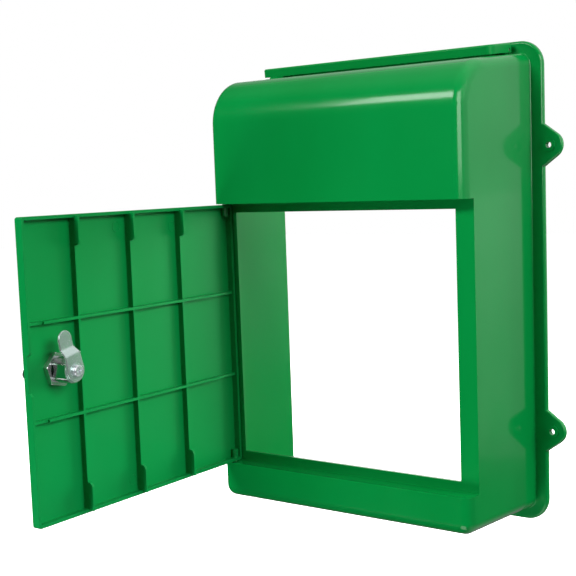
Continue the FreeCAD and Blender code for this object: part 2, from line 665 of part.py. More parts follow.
def cam_outline(low, high):
    """Front view of the cam: round base, narrower tongue and round tip."""
    base = axial(CAM_BASE_RADIUS, low, high)
    tip = rod(CAM_TIP_RADIUS, V(0, CAM_REACH, low), Z_AXIS, high - low)
    shoulders = extrude([V(-CAM_BASE_RADIUS, 0, low), V(CAM_BASE_RADIUS, 0, low),
                         V(CAM_BASE_RADIUS - CAM_SHOULDER, CAM_BEND_START, low),
                         V(CAM_TIP_RADIUS, CAM_BEND_END, low),
                         V(CAM_TIP_RADIUS, CAM_REACH, low), V(-CAM_TIP_RADIUS, CAM_REACH, low),
                         V(-CAM_TIP_RADIUS, CAM_BEND_END, low),
                         V(-CAM_BASE_RADIUS + CAM_SHOULDER, CAM_BEND_START, low)], V(0, 0, high - low))
    return fuse(base, [tip, shoulders])


def cam_strip():
    """Side view of the cranked strip, wider than the cam."""
    low = CAM_LEVEL
    high = CAM_TOP
    wide = 2 * CAM_BASE_RADIUS
    end = CAM_REACH + 2 * CAM_TIP_RADIUS
    points = [(-wide, low), (CAM_BEND_START, low), (CAM_BEND_END, low - CAM_CRANK), (end, low - CAM_CRANK),
              (end, high - CAM_CRANK), (CAM_BEND_END, high - CAM_CRANK), (CAM_BEND_START, high), (-wide, high)]
    return extrude([V(-wide, y, z) for y, z in points], V(2 * wide, 0, 0))


def lock_cam():
    """Cranked cam that catches behind the door frame."""
    cam = turned(cam_outline(CAM_LEVEL - CAM_CRANK, CAM_TOP).common(cam_strip()), CAM_TURN)
    return on_lock(cam.cut(square_stem(CAM_SQUARE_FIT, CAM_LEVEL - OVERCUT, CAM_TOP + OVERCUT)))


def cam_washer():
    """Plain washer under the screw head."""
    washer = axial(CAM_WASHER_RADIUS, CAM_TOP, CAM_TOP + CAM_WASHER_THICKNESS)
    hole = axial(SCREW_RADIUS + 2 * LOCK_FIT, CAM_TOP - OVERCUT, CAM_TOP + CAM_WASHER_THICKNESS + OVERCUT)
    return on_lock(washer.cut(hole))


def cam_screw():
    """Pan-head screw with a cross recess."""
    under_head = CAM_TOP + CAM_WASHER_THICKNESS
    top = under_head + SCREW_HEAD_HEIGHT
    head = axial(SCREW_HEAD_RADIUS, under_head, top)
    crown = [edge for edge in head.Edges if edge.isClosed() and edge.CenterOfMass.z > top - NEAR]
    head = head.makeFillet(SCREW_HEAD_HEIGHT / 2, crown)
    shank = axial(SCREW_RADIUS, under_head - SCREW_LENGTH, under_head + OVERCUT)
    floor = (top - CROSS_DEPTH, top + OVERCUT)
    half = CROSS_WIDTH / 2
    cross = [box((-CROSS_REACH, CROSS_REACH), (-half, half), floor),
             box((-half, half), (-CROSS_REACH, CROSS_REACH), floor)]
    screw = fuse(head, [shank]).cut(cross)
    return on_lock(turned(screw, CAM_TURN))


def key_blade():
    """Metal blade and shank of the key in the plug."""
    tip = KEY_BLADE_LENGTH - CAP_THICKNESS
    half_t = KEY_THICKNESS / 2
    half_h = KEY_BLADE_HEIGHT / 2
    start = -CAP_THICKNESS - KEY_SHANK
    blade = box((-half_t, half_t), (-half_h, half_h), (start, tip))
    cuts = []
    for index, level in enumerate(wafer_levels()):
        depth = CROSS_WIDTH * (1 + index % 2) / 2
        cuts.append(box((-half_t - OVERCUT, half_t + OVERCUT), (half_h - depth, half_h + OVERCUT),
                        (level - WAFER_THICKNESS, level + WAFER_THICKNESS)))
    return on_lock(turned(blade.cut(cuts)))


def key_bow():
    """Moulded plastic head of the key, with a hole for a ring."""
    inner = -CAP_THICKNESS - KEY_SHANK + BOW_OVERLAP
    half_t = BOW_THICKNESS / 2
    bow = box((-half_t, half_t), (-BOW_HEIGHT / 2, BOW_HEIGHT / 2), (inner - BOW_LENGTH, inner))
    corners = [edge for edge in bow.Edges if edge.BoundBox.XLength > half_t]
    bow = bow.makeFillet(BOW_CORNER, corners)
    ring_hole = rod(BOW_HOLE_RADIUS, V(-BOW_THICKNESS, 0, inner - BOW_LENGTH + 2 * BOW_HOLE_RADIUS), X_AXIS,
                    2 * BOW_THICKNESS)
    socket = box((-KEY_THICKNESS / 2 - TIGHT_FIT, KEY_THICKNESS / 2 + TIGHT_FIT),
                 (-KEY_BLADE_HEIGHT / 2 - TIGHT_FIT, KEY_BLADE_HEIGHT / 2 + TIGHT_FIT),
                 (inner - BOW_OVERLAP, inner + OVERCUT))
    return on_lock(turned(bow.cut([ring_hole, socket])))


def build():
    """Model and write every sub-component."""
    os.makedirs("parts", exist_ok=True)
    save(body_shell(), "body_shell")
    save(door_panel(), "door_panel")
    save(door_pin(1), "door_pin_upper")
    save(door_pin(-1), "door_pin_lower")
    save(top_lid(), "top_lid")
    save(lid_pin(-1), "lid_pin_left")
    save(lid_pin(1), "lid_pin_right")
    save(lock_housing(), "lock_housing")
    save(lock_nut(), "lock_nut")
    save(lock_plug(), "lock_plug")
    save(lock_wafers(), "lock_wafers")
    save(wafer_springs(), "wafer_springs")
    save(stop_washer(), "stop_washer")
    save(lock_cam(), "lock_cam")
    save(cam_washer(), "cam_washer")
    save(cam_screw(), "cam_screw")
    save(key_blade(), "key_blade")
    save(key_bow(), "key_bow")


build()
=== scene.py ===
"""Looks of a wall-mounted drop box: glossy green mouldings, a plated cam lock and its key.

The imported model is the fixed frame, in metres: +X right, +Y towards the wall, +Z up.
"""
import json
import logging
import math
from dataclasses import dataclass, field
from enum import Enum
from typing import Iterable, Sequence

import bmesh
import bpy
from mathutils import Matrix, Vector

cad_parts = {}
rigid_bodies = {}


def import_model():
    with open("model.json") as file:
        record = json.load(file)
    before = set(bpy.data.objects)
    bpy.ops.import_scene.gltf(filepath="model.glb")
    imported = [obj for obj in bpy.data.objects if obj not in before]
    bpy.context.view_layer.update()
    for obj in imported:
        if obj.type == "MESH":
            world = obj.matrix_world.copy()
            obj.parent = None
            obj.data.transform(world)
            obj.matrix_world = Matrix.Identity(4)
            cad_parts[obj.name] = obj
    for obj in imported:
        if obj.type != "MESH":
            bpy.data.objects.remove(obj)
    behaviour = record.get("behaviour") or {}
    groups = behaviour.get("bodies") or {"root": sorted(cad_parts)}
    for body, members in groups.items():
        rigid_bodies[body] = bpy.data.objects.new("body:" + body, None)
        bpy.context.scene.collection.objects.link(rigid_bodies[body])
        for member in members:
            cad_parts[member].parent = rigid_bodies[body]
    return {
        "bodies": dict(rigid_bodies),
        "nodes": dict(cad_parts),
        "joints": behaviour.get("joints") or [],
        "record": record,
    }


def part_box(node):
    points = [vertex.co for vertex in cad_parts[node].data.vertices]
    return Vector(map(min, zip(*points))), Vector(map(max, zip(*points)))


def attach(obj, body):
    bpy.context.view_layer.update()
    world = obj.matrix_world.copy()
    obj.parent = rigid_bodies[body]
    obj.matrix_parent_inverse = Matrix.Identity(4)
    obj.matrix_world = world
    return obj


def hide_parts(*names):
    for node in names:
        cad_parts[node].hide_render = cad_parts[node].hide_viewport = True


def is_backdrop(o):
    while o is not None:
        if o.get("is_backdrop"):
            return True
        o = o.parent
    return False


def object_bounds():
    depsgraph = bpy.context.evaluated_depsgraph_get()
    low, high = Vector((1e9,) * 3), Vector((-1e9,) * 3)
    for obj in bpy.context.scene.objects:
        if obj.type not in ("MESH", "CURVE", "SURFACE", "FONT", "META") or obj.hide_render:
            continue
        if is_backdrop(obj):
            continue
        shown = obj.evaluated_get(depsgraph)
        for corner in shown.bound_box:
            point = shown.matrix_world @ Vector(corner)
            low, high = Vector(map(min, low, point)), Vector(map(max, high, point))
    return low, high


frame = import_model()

LOG = logging.getLogger("drop_box")
MM = 0.001
UP = Vector((0, 0, 1))
MERGE_DISTANCE = 2e-6
FLAT_ANGLE = 0.4
SMOOTH_ANGLE = 32
NORMAL_WEIGHT = 80
NOISE_LOW, NOISE_HIGH = 0.3, 0.7


class Body(Enum):
    """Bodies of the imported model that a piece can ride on."""

    BOX = "box"
    DOOR = "door"
    CORE = "lock_core"
    KEY = "key"
    LID = "lid"


class Surface(Enum):
    """How the mould left a plastic surface."""

    POLISHED = "polished"
    SATIN = "satin"


class Role(Enum):
    """What a studio light is for."""

    FILL = "fill"
    SHEEN = "sheen"


# Small node helpers


def new_material(name: str) -> tuple[bpy.types.Material, bpy.types.Node]:
    """Make an empty node material.

    Args:
        name: The material's name.

    Returns:
        The material and its Principled node.
    """
    material = bpy.data.materials.new(name)
    material.use_nodes = True
    shader = material.node_tree.nodes["Principled BSDF"]
    return material, shader


@dataclass
class Nodes:
    """A node tree with short ways to add to it."""

    tree: bpy.types.NodeTree

    def add(self, kind: str) -> bpy.types.Node:
        """Add one node of a kind."""
        return self.tree.nodes.new(kind)

    def link(self, start: bpy.types.NodeSocket, end: bpy.types.NodeSocket) -> None:
        """Join two sockets."""
        self.tree.links.new(start, end)


@dataclass
class Graph(Nodes):
    """A material's node tree with the textures that the finishes use."""

    coords: bpy.types.NodeSocket = field(init=False)

    def __post_init__(self) -> None:
        """Add the object coordinates that every texture uses."""
        self.coords = self.add("ShaderNodeTexCoord").outputs["Object"]

    def noise(self, scale: float, detail: float = 2.0,
              stretch: Sequence[float] = (1, 1, 1)) -> bpy.types.NodeSocket:
        """Noise over the object's own coordinates.

        Args:
            scale: Cells per metre.
            detail: Octaves of finer noise.
            stretch: Share of the scale along each axis.

        Returns:
            The noise value's socket.
        """
        mapping = self.add("ShaderNodeMapping")
        mapping.inputs["Scale"].default_value = stretch
        self.link(self.coords, mapping.inputs["Vector"])
        noise = self.add("ShaderNodeTexNoise")
        noise.inputs["Scale"].default_value = scale
        noise.inputs["Detail"].default_value = detail
        self.link(mapping.outputs["Vector"], noise.inputs["Vector"])
        return noise.outputs["Fac"]

    def spread(self, value: bpy.types.NodeSocket, low: float, high: float) -> bpy.types.NodeSocket:
        """Map the middle of a noise value onto a range.

        Args:
            value: Socket with a value from about 0.3 to 0.7.
            low: Result at the lower end.
            high: Result at the upper end.

        Returns:
            The mapped value's socket.
        """
        node = self.add("ShaderNodeMapRange")
        node.inputs["From Min"].default_value = NOISE_LOW
        node.inputs["From Max"].default_value = NOISE_HIGH
        node.inputs["To Min"].default_value = low
        node.inputs["To Max"].default_value = high
        self.link(value, node.inputs["Value"])
        return node.outputs["Result"]

    def colours(self, value: bpy.types.NodeSocket, first: Sequence[float], second: Sequence[float],
                ) -> bpy.types.NodeSocket:
        """Blend two colours by a noise value.

        Args:
            value: Socket with a value from about 0.3 to 0.7.
            first: Colour at the lower end.
            second: Colour at the upper end.

        Returns:
            The blended colour's socket.
        """
        ramp = self.add("ShaderNodeValToRGB")
        ramp.color_ramp.elements[0].position = NOISE_LOW
        ramp.color_ramp.elements[1].position = NOISE_HIGH
        ramp.color_ramp.elements[0].color = (*first, 1)
        ramp.color_ramp.elements[1].color = (*second, 1)
        self.link(value, ramp.inputs["Fac"])
        return ramp.outputs["Color"]

    def bump(self, height: bpy.types.NodeSocket, distance: float, strength: float,
             under: bpy.types.NodeSocket | None = None) -> bpy.types.NodeSocket:
        """Raise the surface by a height value.

        Args:
            height: Socket with the height from 0 to 1.
            distance: Depth of the relief in metres.
            strength: How much of it shows.
            under: Normal of a coarser relief below this one.

        Returns:
            The new normal's socket.
        """
        node = self.add("ShaderNodeBump")
        node.inputs["Distance"].default_value = distance
        node.inputs["Strength"].default_value = strength
        self.link(height, node.inputs["Height"])
        if under is not None:
            self.link(under, node.inputs["Normal"])
        return node.outputs["Normal"]


# Finishes


@dataclass(frozen=True)
class MouldedGreen:
    """Bright green injection-moulded plastic, through-coloured."""

    name: str
    surface: Surface
    base: tuple[float, float, float] = (0.0008, 0.232, 0.040)
    pale: tuple[float, float, float] = (0.0016, 0.262, 0.050)
    streak_scale: float = 9.0
    haze_scale: float = 34.0
    sink_scale: float = 22.0
    sink_depth: float = 0.6 * MM
    grain_scale: float = 2600.0
    grain_depth: float = 0.04 * MM
    refraction: float = 1.48
    coat_roughness: float = 0.06

    def make(self) -> bpy.types.Material:
        """Build the material with flow streaks, faint sinks and a fine mould grain.

        Returns:
            The material.
        """
        material, shader = new_material(self.name)
        graph = Graph(material.node_tree)
        polished = self.surface is Surface.POLISHED
        streaks = graph.noise(self.streak_scale, detail=3.0, stretch=(1.0, 1.0, 0.35))
        graph.link(graph.colours(streaks, self.base, self.pale), shader.inputs["Base Color"])
        smooth, rough = (0.13, 0.20) if polished else (0.28, 0.40)
        haze = graph.noise(self.haze_scale, detail=4.0)
        graph.link(graph.spread(haze, smooth, rough), shader.inputs["Roughness"])
        sink_strength, grain_strength = (0.10, 0.10) if polished else (0.16, 0.35)
        sinks = graph.bump(graph.noise(self.sink_scale, detail=1.0), self.sink_depth, sink_strength)
        grain = graph.bump(graph.noise(self.grain_scale, detail=3.0), self.grain_depth, grain_strength, sinks)
        graph.link(grain, shader.inputs["Normal"])
        shader.inputs["IOR"].default_value = self.refraction
        shader.inputs["Specular IOR Level"].default_value = 0.5 if polished else 0.20
        shader.inputs["Coat Weight"].default_value = 0.25 if polished else 0.05
        shader.inputs["Coat Roughness"].default_value = self.coat_roughness
        return material


@dataclass(frozen=True)
class PlatedMetal:
    """Plated metal with rubbed patches and fine working marks."""

    name: str
    base: tuple[float, float, float]
    dull: tuple[float, float, float]
    roughness: tuple[float, float]
    grain: float = 0.12
    stretch: tuple[float, float, float] = (1.0, 1.0, 1.0)
    metallic: float = 1.0
    patch_scale: float = 110.0
    rub_scale: float = 240.0
    mark_scale: float = 1500.0
    mark_depth: float = 0.02 * MM

    def make(self) -> bpy.types.Material:
        """Build the material with patchy plating and directional scratches.

        Returns:
            The material.
        """
        material, shader = new_material(self.name)
        graph = Graph(material.node_tree)
        patches = graph.noise(self.patch_scale, detail=3.0)
        graph.link(graph.colours(patches, self.base, self.dull), shader.inputs["Base Color"])
        rubbed = graph.spread(graph.noise(self.rub_scale, detail=3.0), *self.roughness)
        graph.link(rubbed, shader.inputs["Roughness"])
        marks = graph.noise(self.mark_scale, detail=2.0, stretch=self.stretch)
        graph.link(graph.bump(marks, self.mark_depth, self.grain), shader.inputs["Normal"])
        shader.inputs["Metallic"].default_value = self.metallic
        return material


@dataclass(frozen=True)
class GrainedPlastic:
    """Dark moulded plastic with a fine spark-eroded grain."""

    name: str
    base: tuple[float, float, float] = (0.012, 0.013, 0.014)
    worn: tuple[float, float, float] = (0.030, 0.031, 0.032)
    roughness: tuple[float, float] = (0.38, 0.55)
    wear_scale: float = 180.0
    haze_scale: float = 420.0
    grain_scale: float = 6000.0
    grain_depth: float = 0.05 * MM
    grain_strength: float = 0.4

    def make(self) -> bpy.types.Material:
        """Build the material with a grain and slightly rubbed patches.

        Returns:
            The material.
        """
        material, shader = new_material(self.name)
        graph = Graph(material.node_tree)
        wear = graph.noise(self.wear_scale, detail=4.0)
        graph.link(graph.colours(wear, self.base, self.worn), shader.inputs["Base Color"])
        haze = graph.noise(self.haze_scale, detail=3.0)
        graph.link(graph.spread(haze, *self.roughness), shader.inputs["Roughness"])
        grain = graph.noise(self.grain_scale, detail=2.0)
        graph.link(graph.bump(grain, self.grain_depth, self.grain_strength), shader.inputs["Normal"])
        return material


@dataclass(frozen=True)
class StudioFloor:
    """Matte pale sweep under the object."""

    name: str = "pale_sweep"
    grey: tuple[float, float, float] = (0.86, 0.86, 0.86)
    pale: tuple[float, float, float] = (0.89, 0.89, 0.89)
    glow: float = 0.75
    cloud_scale: float = 6.0
    paper_scale: float = 900.0
    paper_depth: float = 0.1 * MM
    paper_strength: float = 0.1

    def make(self) -> bpy.types.Material:
        """Build the floor's material with a barely visible paper grain.

        Returns:
            The material.
        """
        material, shader = new_material(self.name)
        graph = Graph(material.node_tree)
        clouds = graph.noise(self.cloud_scale, detail=3.0)
        graph.link(graph.colours(clouds, self.grey, self.pale), shader.inputs["Base Color"])
        paper = graph.noise(self.paper_scale, detail=3.0)
        graph.link(graph.bump(paper, self.paper_depth, self.paper_strength), shader.inputs["Normal"])
        shader.inputs["Roughness"].default_value = 0.9
        shader.inputs["Specular IOR Level"].default_value = 0.1
        shader.inputs["Emission Color"].default_value = (1, 1, 1, 1)
        shader.inputs["Emission Strength"].default_value = self.glow
        return material


@dataclass
class FinishSet:
    """Every finish of the object, made once."""

    shell: bpy.types.Material
    door: bpy.types.Material
    lid: bpy.types.Material
    chrome: bpy.types.Material
    nickel: bpy.types.Material
    zinc: bpy.types.Material
    screw: bpy.types.Material
    steel: bpy.types.Material
    brass: bpy.types.Material
    key_metal: bpy.types.Material
    key_plastic: bpy.types.Material

    @classmethod
    def build(cls) -> "FinishSet":
        """Make all the finishes.

        Returns:
            The set.
        """
        return cls(
            shell=MouldedGreen("green_shell", Surface.POLISHED).make(),
            # The door's base and pale greens are set a little darker than the shell's green: painted shade
            # over the door's own green plastic.
            door=MouldedGreen("green_door", Surface.SATIN, (0.0012, 0.220, 0.042),
                              (0.0028, 0.254, 0.055)).make(),
            lid=MouldedGreen("green_lid", Surface.SATIN).make(),
            chrome=PlatedMetal("lock_chrome", (0.64, 0.66, 0.66), (0.46, 0.48, 0.48), (0.07, 0.16)).make(),
            nickel=PlatedMetal("lock_nickel", (0.74, 0.81, 0.79), (0.58, 0.66, 0.64), (0.10, 0.20),
                               metallic=0.80).make(),
            zinc=PlatedMetal("zinc_plate", (0.62, 0.75, 0.71), (0.54, 0.67, 0.63), (0.17, 0.26), 0.05,
                             (1.0, 1.0, 0.15), 0.74).make(),
            screw=PlatedMetal("screw_plate", (0.88, 0.91, 0.95), (0.74, 0.77, 0.82), (0.09, 0.16), 0.05,
                              metallic=0.70).make(),
            steel=PlatedMetal("pin_steel", (0.56, 0.56, 0.55), (0.44, 0.44, 0.43), (0.22, 0.36)).make(),
            brass=PlatedMetal("wafer_brass", (0.72, 0.52, 0.22), (0.58, 0.41, 0.17), (0.22, 0.38)).make(),
            key_metal=PlatedMetal("key_nickel", (0.70, 0.68, 0.64), (0.56, 0.54, 0.50), (0.16, 0.30)).make(),
            key_plastic=GrainedPlastic("key_black").make(),
        )


# Mesh work


def link_mesh(name: str, mesh: bpy.types.Mesh, material: bpy.types.Material) -> bpy.types.Object:
    """Put a mesh into the scene as a smooth-shaded object.

    Args:
        name: The new object's name.
        mesh: Its mesh.
        material: Its only material.

    Returns:
        The new object.
    """
    mesh.materials.clear()
    mesh.materials.append(material)
    for polygon in mesh.polygons:
        polygon.use_smooth = True
        polygon.material_index = 0
    mesh.set_sharp_from_angle(angle=math.radians(SMOOTH_ANGLE))
    piece = bpy.data.objects.new(name, mesh)
    bpy.context.scene.collection.objects.link(piece)
    return piece


def softened_copy(node: bpy.types.Object, name: str, radius: float, segments: int = 3,
                  sharp: float = 34.0) -> bpy.types.Mesh:
    """Copy a CAD mesh and round its sharp edges.

    Args:
        node: The CAD node's object.
        name: The new mesh's name.
        radius: Width of the rounding in metres.
        segments: Steps across the rounding.
        sharp: Edges that turn by more degrees than this are rounded.

    Returns:
        The new mesh.
    """
    solid = bmesh.new()
    solid.from_mesh(node.data)
    bmesh.ops.remove_doubles(solid, verts=solid.verts, dist=MERGE_DISTANCE)
    bmesh.ops.dissolve_limit(solid, angle_limit=math.radians(FLAT_ANGLE), verts=solid.verts,
                             edges=solid.edges, use_dissolve_boundaries=False)
    limit = math.radians(sharp)
    edges = [edge for edge in solid.edges if edge.is_manifold and edge.calc_face_angle(0.0) > limit]
    bmesh.ops.bevel(solid, geom=edges, offset=radius, offset_type="OFFSET", segments=segments, profile=0.5,
                    affect="EDGES", clamp_overlap=True)
    bmesh.ops.triangulate(solid, faces=[face for face in solid.faces if len(face.verts) > 4])
    mesh = bpy.data.meshes.new(name)
    solid.to_mesh(mesh)
    solid.free()
    return mesh


def weigh_normals(piece: bpy.types.Object) -> None:
    """Keep flat faces flat beside their rounded edges.

    Args:
        piece: The object to shade so.
    """
    modifier = piece.modifiers.new("flat_faces", "WEIGHTED_NORMAL")
    modifier.keep_sharp = True
    modifier.weight = NORMAL_WEIGHT


def grid_mesh(name: str, rows: Sequence[Sequence[Vector]], close_rows: bool, close_columns: bool,
              ) -> bpy.types.Mesh:
    """Skin a grid of points.

    Args:
        name: The new mesh's name.
        rows: Rows of points, all of one length.
        close_rows: Join the last point of each row to its first.
        close_columns: Join the last row to the first.

    Returns:
        The new mesh.
    """
    width = len(rows[0])
    points = [point for row in rows for point in row]
    faces = []
    for i in range(len(rows) if close_columns else len(rows) - 1):
        below, above = i * width, ((i + 1) % len(rows)) * width
        for j in range(width if close_rows else width - 1):
            after = (j + 1) % width
            faces.append((below + j, below + after, above + after, above + j))
    mesh = bpy.data.meshes.new(name)
    mesh.from_pydata(points, [], faces)
    mesh.update()
    return mesh


@dataclass
class SubAssembly:
    """Pieces that share a part of the frame."""

    frame: dict
    finishes: FinishSet
    made: list[str] = field(default_factory=list, init=False)

    def joint(self, name: str) -> dict:
        """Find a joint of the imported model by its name."""
        return next(joint for joint in self.frame["joints"] if joint["name"] == name)

    def dress(self, node: str, material: bpy.types.Material) -> None:
        """Give a CAD node that stays visible its finish.

        Args:
            node: The node's name.
            material: The finish.
        """
        mesh = self.frame["nodes"][node].data
        mesh.materials.clear()
        mesh.materials.append(material)
        self.made.append(node)

    def soften(self, node: str, name: str, radius: float, material: bpy.types.Material, body: Body,
               slot: str, segments: int = 3) -> bpy.types.Object:
        """Replace a CAD node by a copy with softly rounded edges.

        Args:
            node: The node's name.
            name: The new piece's name.
            radius: Width of the rounding in metres.
            material: The finish.
            body: The body that the piece moves with.
            slot: The record's material slot, passed on to keep; not used.
            segments: Steps across the rounding.

        Returns:
            The new piece.
        """
        mesh = softened_copy(self.frame["nodes"][node], name, radius, segments)
        piece = link_mesh(name, mesh, material)
        weigh_normals(piece)
        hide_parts(node)
        return self.keep(piece, body, slot)

    def keep(self, piece: bpy.types.Object, body: Body, slot: str) -> bpy.types.Object:
        """Let a piece ride on its body and note it.

        Args:
            piece: The piece.
            body: The body that it moves with.
            slot: The record's material slot; not used.

        Returns:
            The same piece.
        """
        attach(piece, body.value)
        self.made.append(piece.name)
        return piece

    def build(self) -> None:
        """Make every piece; each sub-assembly has its own."""
        raise NotImplementedError


@dataclass
class Shell(SubAssembly):
    """The moulded body with its hood, sill, door frame and flange."""

    edge_radius: float = 0.55 * MM
    flange: float = 4.0 * MM
    half_width: float = 129.8 * MM
    bottom: float = -182.0 * MM
    top: float = 188.9 * MM
    corner: float = 10.0 * MM
    root_radius: float = 1.3 * MM
    root_overlap: float = 0.05 * MM
    root_depth: float = 0.4 * MM
    corner_steps: int = 8
    root_steps: int = 6

    def build(self) -> None:
        """Make the body, the fillet at the flange's root and the lid pins' finish."""
        self.soften("body_shell", "shell_moulding", self.edge_radius, self.finishes.shell, Body.BOX,
                    "green_shell")
        self.root_fillet()
        for node in ("lid_pin_left", "lid_pin_right"):
            self.dress(node, self.finishes.steel)

    def outline(self) -> list[tuple[Vector, Vector]]:
        """Walk round the body where it meets the flange.

        Returns:
            Points on the way round, each with its outward direction.
        """
        points = []
        inner_x = self.half_width - self.corner
        low, high = self.bottom + self.corner, self.top - self.corner
        corners = ((inner_x, high, 0), (-inner_x, high, 90), (-inner_x, low, 180), (inner_x, low, 270))
        for x, z, start in corners:
            for step in range(self.corner_steps + 1):
                angle = math.radians(start + step * 90 / self.corner_steps)
                out = Vector((math.cos(angle), 0, math.sin(angle)))
                points.append((Vector((x, -self.flange, z)) + out * self.corner, out))
        return points

    def root_fillet(self) -> None:
        """Round the inside corner between the body's walls and the flange."""
        rows = []
        for point, out in self.outline():
            row = []
            for step in range(self.root_steps + 1):
                angle = math.pi / 2 * step / self.root_steps
                away = self.root_radius * (1 - math.sin(angle)) - self.root_overlap
                ahead = self.root_radius * (1 - math.cos(angle)) - self.root_overlap
                row.append(point + out * away - Vector((0, ahead, 0)))
            row.append(point - out * self.root_depth + Vector((0, self.root_depth, 0)))
            rows.append(row)
        piece = link_mesh("flange_root_fillet", grid_mesh("flange_root_fillet", rows, True, True),
                          self.finishes.shell)
        self.keep(piece, Body.BOX, "green_shell")


@dataclass
class Lid(SubAssembly):
    """The lid over the drop slot."""

    edge_radius: float = 0.5 * MM

    def build(self) -> None:
        """Make the lid."""
        self.soften("top_lid", "lid_moulding", self.edge_radius, self.finishes.lid, Body.LID, "green_lid")


@dataclass
class HingedDoor(SubAssembly):
    """The ribbed tray door with its hinge pins and ejector marks."""

    edge_radius: float = 0.4 * MM
    skin: float = 2.5 * MM
    lock_place: float = 214.5 * MM
    mark_radius: float = 4.0 * MM
    mark_relief: float = 0.30 * MM
    mark_places: tuple[tuple[float, float], ...] = ((0.143, 0.214), (0.076, 0.211), (0.138, 0.012))
    mark_turns: int = 40
    mark_sides: int = 8
    mark_flatness: float = 0.8

    def build(self) -> None:
        """Make the door, its pins and the marks inside it."""
        self.soften("door_panel", "door_moulding", self.edge_radius, self.finishes.door, Body.DOOR,
                    "green_door")
        for node in ("door_pin_upper", "door_pin_lower"):
            self.dress(node, self.finishes.steel)
        for index, place in enumerate(self.mark_places):
            self.ejector_mark(index, place)

    def axes(self) -> tuple[Vector, Vector]:
        """Work out the open door's directions from the lock's axis.

        Returns:
            The direction from the hinge to the free edge, and the one square to the inside.
        """
        inward = Vector(self.joint("cam_turn")["axis"]).normalized()
        along = inward.cross(UP)
        return along, inward

    def ejector_mark(self, index: int, place: tuple[float, float]) -> None:
        """Leave one shallow ring in the skin.

        Args:
            index: Number of the mark.
            place: Distance from the hinge edge and from the door's lower edge.
        """
        along, inward = self.axes()
        lock = Vector(self.joint("cam_turn")["pos_m"])
        centre = lock + along * (place[0] - self.lock_place) + inward * self.skin
        centre.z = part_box("door_panel")[0].z + place[1]
        rows = []
        for turn in range(self.mark_turns):
            angle = 2 * math.pi * turn / self.mark_turns
            out = along * math.cos(angle) + UP * math.sin(angle)
            row = []
            for side in range(self.mark_sides):
                tilt = 2 * math.pi * side / self.mark_sides
                away = self.mark_radius + self.mark_relief * math.cos(tilt)
                rise = self.mark_relief * self.mark_flatness * math.sin(tilt)
                row.append(centre + out * away + inward * rise)
            rows.append(row)
        name = f"ejector_mark_{index + 1}"
        piece = link_mesh(name, grid_mesh(name, rows, True, True), self.finishes.door)
        self.keep(piece, Body.DOOR, "green_door")


@dataclass
class CamLock(SubAssembly):
    """The cam lock: housing, nut, plug, washers, cam and screw."""

    barrel_radius: float = 9.5 * MM
    barrel_flats: float = 16.4 * MM
    thread_pitch: float = 1.1 * MM
    thread_relief: float = 0.32 * MM
    thread_start: float = 6.6 * MM
    thread_end: float = 19.4 * MM
    thread_overlap: float = 0.02 * MM
    flat_relief: float = 0.04 * MM
    collar_share: float = 0.93
    barrel_edge: float = 0.3 * MM
    nut_edge: float = 0.35 * MM
    washer_edge: float = 0.2 * MM
    cam_edge: float = 0.6 * MM
    screw_edge: float = 0.12 * MM
    points_around: int = 96
    rows_per_pitch: int = 6

    def build(self) -> None:
        """Make the lock's pieces from the housing to the screw."""
        finishes = self.finishes
        self.soften("lock_housing", "lock_barrel", self.barrel_edge, finishes.chrome, Body.DOOR,
                    "lock_chrome")
        self.soften("lock_nut", "clamp_nut", self.nut_edge, finishes.nickel, Body.DOOR, "lock_nut_plate")
        self.soften("stop_washer", "turn_washer", self.washer_edge, finishes.zinc, Body.CORE, "zinc_plate")
        self.soften("lock_cam", "cranked_cam", self.cam_edge, finishes.zinc, Body.CORE, "zinc_plate")
        self.soften("cam_washer", "plain_washer", self.washer_edge, finishes.zinc, Body.CORE, "zinc_plate")
        self.soften("cam_screw", "pan_head_screw", self.screw_edge, finishes.screw, Body.CORE,
                    "screw_chrome")
        self.dress("lock_plug", finishes.chrome)
        self.dress("lock_wafers", finishes.brass)
        self.dress("wafer_springs", finishes.steel)
        self.thread()

    def lock_frame(self) -> Matrix:
        """Place the lock's own drawing: Z inwards along the lock, Y up.

        Returns:
            The drawing's place in the frame.
        """
        joint = self.joint("cam_turn")
        inward = Vector(joint["axis"]).normalized()
        across = UP.cross(inward)
        place = Matrix((across, UP, inward)).transposed().to_4x4()
        place.translation = Vector(joint["pos_m"])
        return place

    def thread(self) -> None:
        """Cut the thread's ridges round the barrel, broken by its two flats."""
        place = self.lock_frame()
        length = self.thread_end - self.thread_start
        steps = int(length / self.thread_pitch * self.rows_per_pitch)
        half_flat = self.barrel_flats / 2 + self.flat_relief
        rows = []
        for step in range(steps + 1):
            along = self.thread_start + length * step / steps
            row = []
            for turn in range(self.points_around):
                angle = 2 * math.pi * turn / self.points_around
                phase = (along / self.thread_pitch - turn / self.points_around) % 1.0
                ridge = 1 - abs(2 * phase - 1)
                radius = self.barrel_radius - self.thread_overlap + self.thread_relief * ridge
                x = max(-half_flat, min(half_flat, radius * math.cos(angle)))
                row.append(place @ Vector((x, radius * math.sin(angle), along)))
            rows.append(row)
        mesh = grid_mesh("barrel_thread", [self.collar(rows[0]), *rows, self.collar(rows[-1])], True, False)
        self.keep(link_mesh("barrel_thread", mesh, self.finishes.chrome), Body.DOOR, "lock_chrome")

    def collar(self, row: Sequence[Vector]) -> list[Vector]:
        """Draw an end row in towards its middle, so that the thread's end is closed by the barrel.

        Args:
            row: The end row's points.

        Returns:
            The drawn-in points.
        """
        centre = sum(row, Vector()) / self.points_around
        return [centre + (point - centre) * self.collar_share for point in row]


